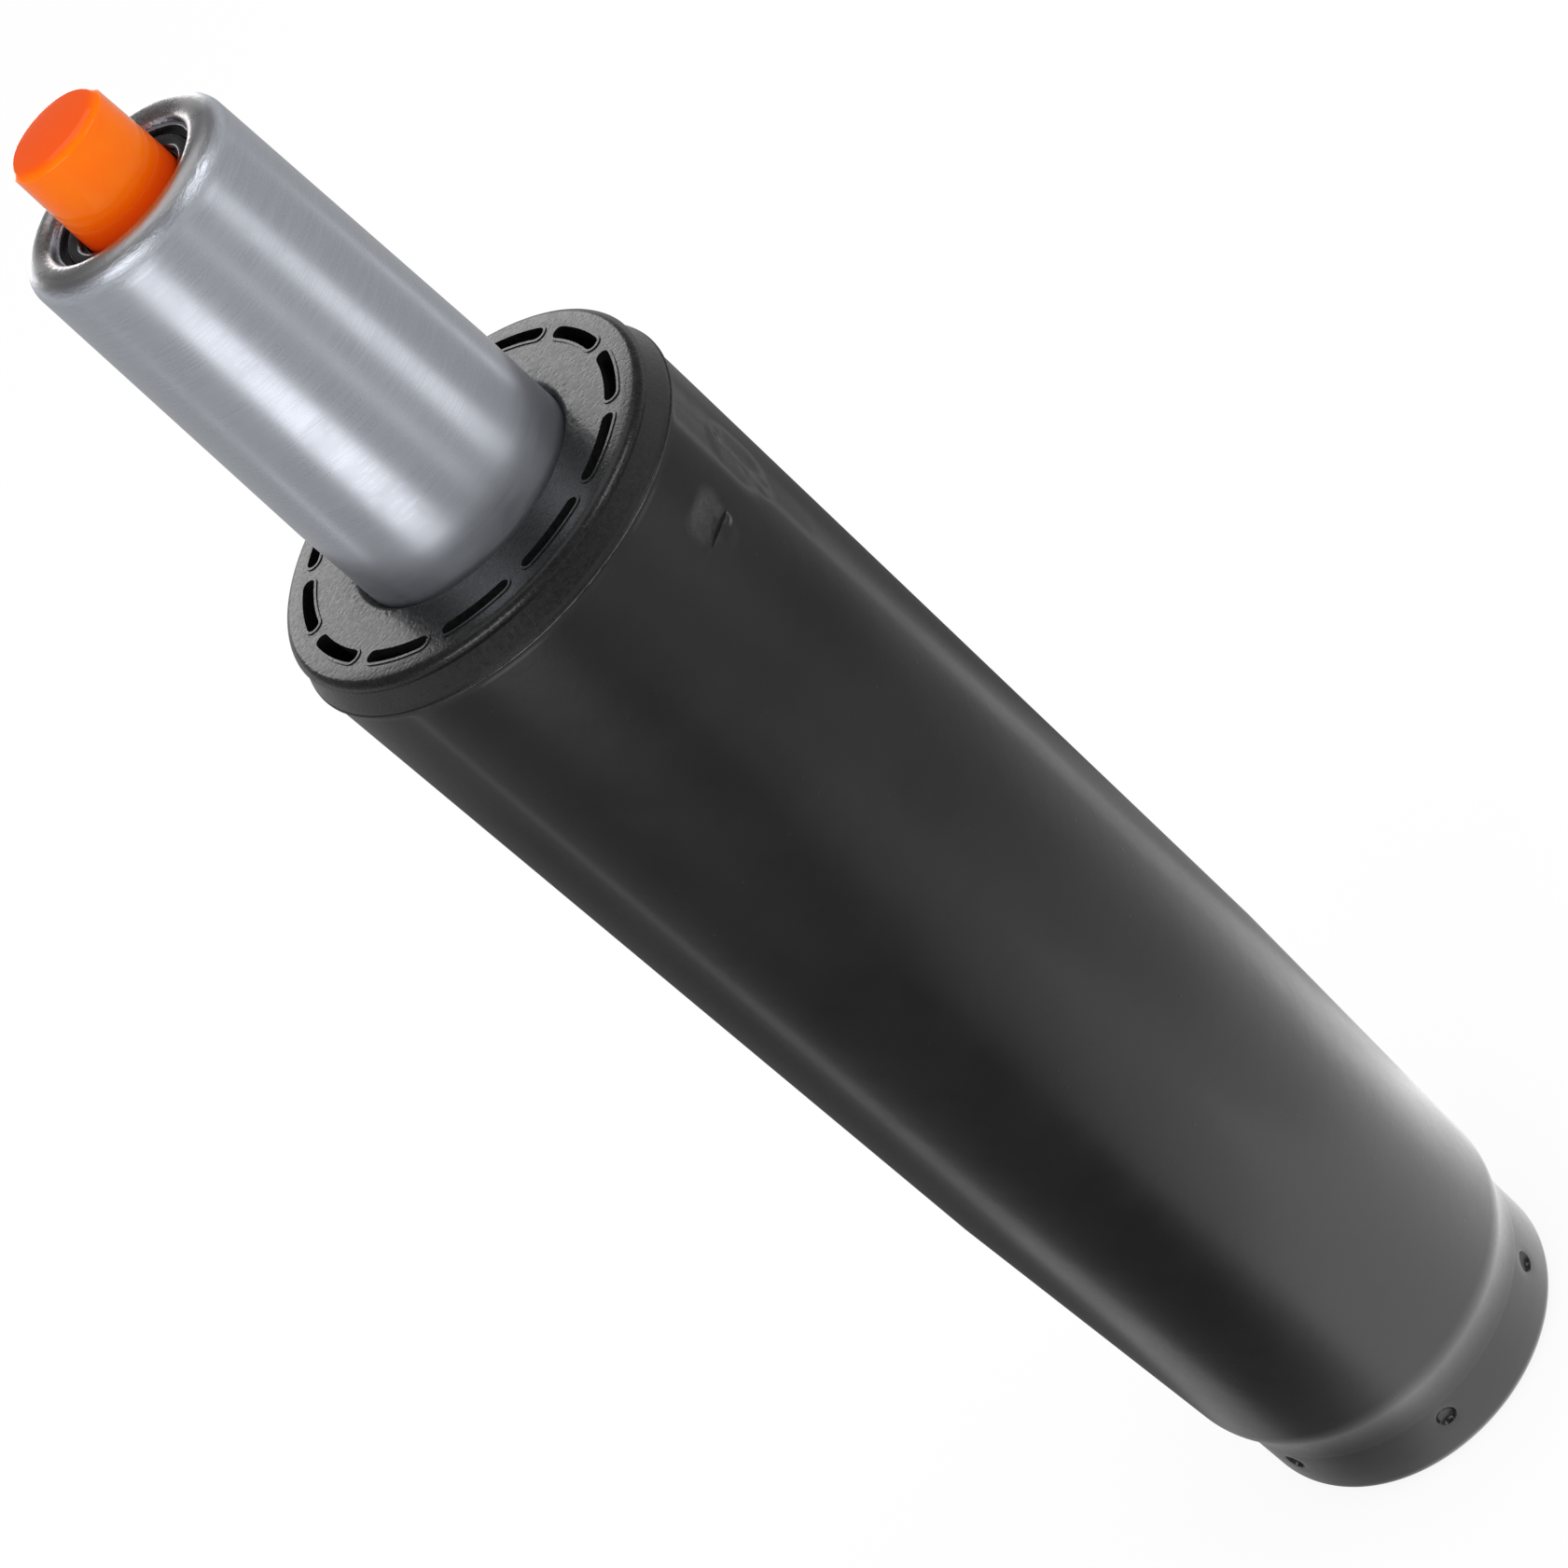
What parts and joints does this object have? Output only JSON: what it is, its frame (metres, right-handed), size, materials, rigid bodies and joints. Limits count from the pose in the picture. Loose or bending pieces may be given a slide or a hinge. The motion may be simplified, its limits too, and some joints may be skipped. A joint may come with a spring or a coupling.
{
  "type": "chair gas lift cylinder",
  "caption": "Office chair gas lift: painted standing tube with tapered foot and slotted guide bushing, sliding steel pressure tube with seat cone, and a push button valve.",
  "frame": {"origin": "centre of the standing tube's foot, on the plane that the foot rests on", "axes": "+Z along the tubes' common axis, from the foot to the release button; -Y faces the picture's camera"},
  "size_m": [0.0507, 0.0506, 0.2399],
  "materials": {
    "black_paint": "semi-gloss black powder paint",
    "black_plastic": "satin moulded, fine grain",
    "bare_steel": "bare drawn steel, brushed round",
    "orange_plastic": "glossy moulded",
    "valve_plastic": "satin moulded",
    "plated_steel": "zinc plated",
    "bearing_steel": "ground and polished",
    "hard_chrome": "hard chromed and polished",
    "inner_steel": "cold drawn",
    "spring_steel": "blued",
    "light_alloy": "die cast and turned",
    "brass": "turned",
    "natural_plastic": "moulded, uncoloured",
    "grey_rubber": "moulded rubber",
    "black_rubber": "moulded rubber",
    "brown_rubber": "moulded rubber"
  },
  "bodies": {
    "standing_tube": {"outer_tube": "black_paint", "guide_bushing": "black_plastic", "bottom_plate": "plated_steel", "lower_race": "bearing_steel"},
    "bearing": {"bearing_cage": "natural_plastic", "bearing_balls": "bearing_steel"},
    "rod": {"upper_race": "bearing_steel", "bumper": "grey_rubber", "piston_rod": "hard_chrome", "clip_washer": "plated_steel", "retaining_clip": "spring_steel", "lower_piston_washer": "plated_steel", "piston": "light_alloy", "piston_ring": "black_rubber", "upper_piston_washer": "plated_steel", "piston_nut": "brass"},
    "lift_tube": {"pressure_tube": "bare_steel", "inner_tube": "inner_steel", "end_cap": "plated_steel", "rod_seal": "black_rubber", "seal_washer": "plated_steel", "rod_guide": "light_alloy", "valve_body": "valve_plastic", "valve_body_ring": "black_rubber", "pin_seal": "black_rubber", "valve_seat": "brown_rubber"},
    "button": {"release_button": "orange_plastic", "valve_pin": "bearing_steel"}
  },
  "joints": [
    {"name": "seat_swivel", "type": "hinge", "parent": "standing_tube", "child": "rod", "pos_m": [0, 0, 0.0145], "axis": [0, 0, 1], "continuous": true},
    {"name": "bearing_roll", "type": "hinge", "parent": "standing_tube", "child": "bearing", "pos_m": [0, 0, 0.0113], "axis": [0, 0, 1], "continuous": true},
    {"name": "height_slide", "type": "slide", "parent": "rod", "child": "lift_tube", "axis": [0, 0, 1], "range_m": [0, 0.1]},
    {"name": "button_press", "type": "slide", "parent": "lift_tube", "child": "button", "axis": [0, 0, 1], "range_m": [-0.0035, 0], "stiffness_N_per_m": 2000}
  ],
  "couplings": [
    {"joint": "bearing_roll", "follows": "seat_swivel", "ratio": 0.5}
  ]
}
